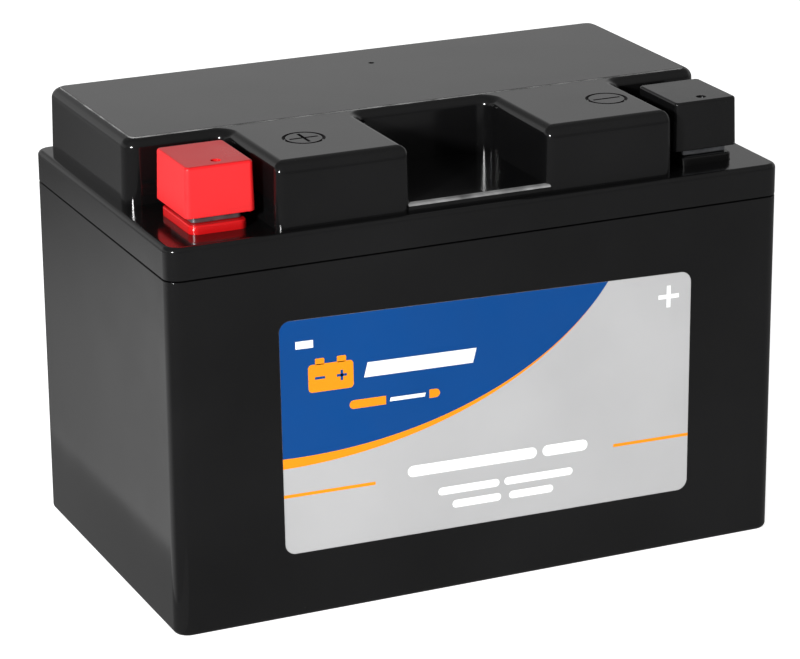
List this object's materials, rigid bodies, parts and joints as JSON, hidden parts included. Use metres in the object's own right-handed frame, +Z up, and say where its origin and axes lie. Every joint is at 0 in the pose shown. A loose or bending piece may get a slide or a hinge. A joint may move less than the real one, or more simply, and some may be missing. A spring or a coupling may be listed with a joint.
{
  "type": "motorcycle battery",
  "caption": "Black sealed lead-acid motorcycle battery with two front terminals under push-on covers, a front label and a full set of inner cells.",
  "frame": {"origin": "middle of the underside of the case, at floor level", "axes": "+X along the long side from the positive to the negative terminal, -Y out of the front where the terminals and the label are, +Z up"},
  "size_m": [0.15, 0.088, 0.105],
  "materials": {
    "case_plastic": "glossy black polypropylene",
    "cover_plastic": "glossy black polypropylene",
    "red_cap": "semi-gloss red soft plastic",
    "black_cap": "semi-gloss black soft plastic",
    "red_resin": "poured red resin",
    "black_resin": "poured black resin",
    "lead": "cast lead; the list has no lead, and this is its nearest dull grey metal",
    "steel": "bright zinc plated steel",
    "label_film": "satin printed film",
    "valve_rubber": "matt black rubber",
    "sintered_disc": "porous off-white disc",
    "positive_paste": "dark brown lead oxide paste",
    "negative_paste": "grey spongy lead paste",
    "glass_mat": "white glass fibre mat"
  },
  "bodies": {
    "case": {"case_jar": "case_plastic", "cover": "cover_plastic", "top_plate": "cover_plastic", "vent_flame_arrestor": "sintered_disc", "terminal_positive": "lead", "terminal_negative": "lead", "intercell_weld_1": "lead", "intercell_weld_2": "lead", "intercell_weld_3": "lead", "intercell_weld_4": "lead", "intercell_weld_5": "lead", "terminal_seal_positive": "red_resin", "terminal_seal_negative": "black_resin", "terminal_nut_positive": "steel", "terminal_nut_negative": "steel", "terminal_screw_positive": "steel", "terminal_screw_negative": "steel", "front_label": "label_film", "cell_1_positive_plates": "positive_paste", "cell_1_negative_plates": "negative_paste", "cell_1_separator": "glass_mat", "cell_2_positive_plates": "positive_paste", "cell_2_negative_plates": "negative_paste", "cell_2_separator": "glass_mat", "cell_3_positive_plates": "positive_paste", "cell_3_negative_plates": "negative_paste", "cell_3_separator": "glass_mat", "cell_4_positive_plates": "positive_paste", "cell_4_negative_plates": "negative_paste", "cell_4_separator": "glass_mat", "cell_5_positive_plates": "positive_paste", "cell_5_negative_plates": "negative_paste", "cell_5_separator": "glass_mat", "cell_6_positive_plates": "positive_paste", "cell_6_negative_plates": "negative_paste", "cell_6_separator": "glass_mat"},
    "positive_cover": {"terminal_cover_positive": "red_cap"},
    "negative_cover": {"terminal_cover_negative": "black_cap"},
    "valve_1": {"valve_cap_1": "valve_rubber"},
    "valve_2": {"valve_cap_2": "valve_rubber"},
    "valve_3": {"valve_cap_3": "valve_rubber"},
    "valve_4": {"valve_cap_4": "valve_rubber"},
    "valve_5": {"valve_cap_5": "valve_rubber"},
    "valve_6": {"valve_cap_6": "valve_rubber"}
  },
  "joints": [
    {"name": "positive_cover_lift_off", "type": "slide", "parent": "case", "child": "positive_cover", "axis": [0, 0, 1], "range_m": [0, 0.02]},
    {"name": "negative_cover_lift_off", "type": "slide", "parent": "case", "child": "negative_cover", "axis": [0, 0, 1], "range_m": [0, 0.02]},
    {"name": "valve_1_lift", "type": "slide", "parent": "case", "child": "valve_1", "axis": [0, 0, 1], "range_m": [0, 0.0006], "stiffness_N_per_m": 2000},
    {"name": "valve_2_lift", "type": "slide", "parent": "case", "child": "valve_2", "axis": [0, 0, 1], "range_m": [0, 0.0006], "stiffness_N_per_m": 2000},
    {"name": "valve_3_lift", "type": "slide", "parent": "case", "child": "valve_3", "axis": [0, 0, 1], "range_m": [0, 0.0006], "stiffness_N_per_m": 2000},
    {"name": "valve_4_lift", "type": "slide", "parent": "case", "child": "valve_4", "axis": [0, 0, 1], "range_m": [0, 0.0006], "stiffness_N_per_m": 2000},
    {"name": "valve_5_lift", "type": "slide", "parent": "case", "child": "valve_5", "axis": [0, 0, 1], "range_m": [0, 0.0006], "stiffness_N_per_m": 2000},
    {"name": "valve_6_lift", "type": "slide", "parent": "case", "child": "valve_6", "axis": [0, 0, 1], "range_m": [0, 0.0006], "stiffness_N_per_m": 2000}
  ]
}
